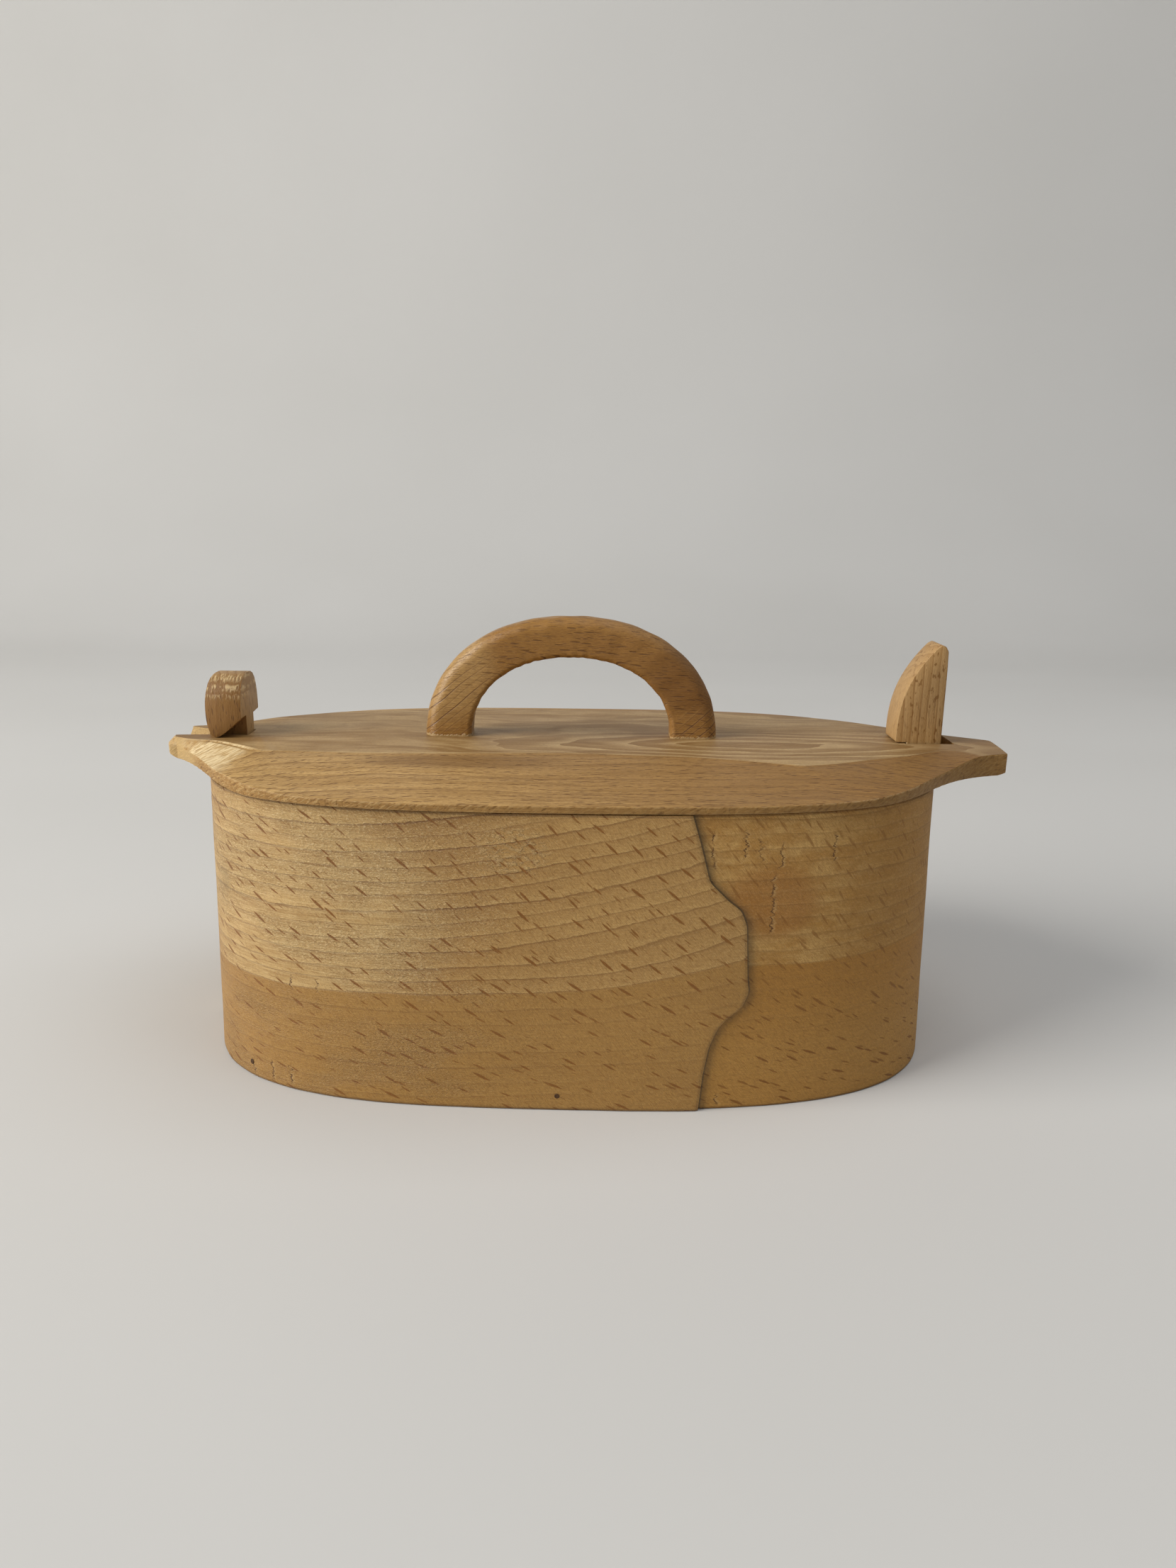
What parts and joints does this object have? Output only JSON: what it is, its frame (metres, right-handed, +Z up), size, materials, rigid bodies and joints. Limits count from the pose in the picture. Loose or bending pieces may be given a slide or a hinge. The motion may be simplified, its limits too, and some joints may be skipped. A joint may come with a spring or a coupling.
{
  "type": "bentwood box",
  "caption": "Lidded bentwood box in beech: bent lapped wall on a pegged bottom board, carved lid with a bow handle that hooks under a T-headed post and snaps past a springy latch post.",
  "frame": {"origin": "centre of the wall's footprint, on the underside of the bottom board, on the surface the box stands on", "axes": "+X to the right along the length, towards the latch post; +Y to the back, away from the lap joint; +Z up"},
  "size_m": [0.268, 0.1492, 0.1352],
  "materials": {
    "beech_wall": "satin",
    "beech_lid": "satin",
    "beech_post": "satin",
    "beech_handle": "satin",
    "beech_peg": "matte"
  },
  "bodies": {
    "box": {"wall_strip": "beech_wall", "bottom_board": "beech_lid", "bottom_peg_front": "beech_peg", "bottom_peg_front_left": "beech_peg", "bottom_peg_front_right": "beech_peg", "bottom_peg_back": "beech_peg", "bottom_peg_back_left": "beech_peg", "bottom_peg_back_right": "beech_peg", "keeper_post": "beech_post", "keeper_peg_front": "beech_peg", "keeper_peg_back": "beech_peg", "latch_peg_front": "beech_peg", "latch_peg_back": "beech_peg"},
    "latch": {"latch_post": "beech_post"},
    "lid": {"lid_board": "beech_lid", "handle": "beech_handle", "handle_wedge_left": "beech_peg", "handle_wedge_right": "beech_peg"}
  },
  "joints": [
    {"name": "latch_flex", "type": "hinge", "parent": "box", "child": "latch", "pos_m": [0.1168, -0.0011, 0.005], "axis": [0, 1, 0], "range_deg": [0, 2.4], "stiffness_Nm_per_rad": 4},
    {"name": "lid_tilt", "type": "hinge", "parent": "box", "child": "lid", "pos_m": [-0.1146, -0.0022, 0.09605], "axis": [0, -1, 0], "range_deg": [0, 15], "deforming": ["latch_post"]}
  ]
}
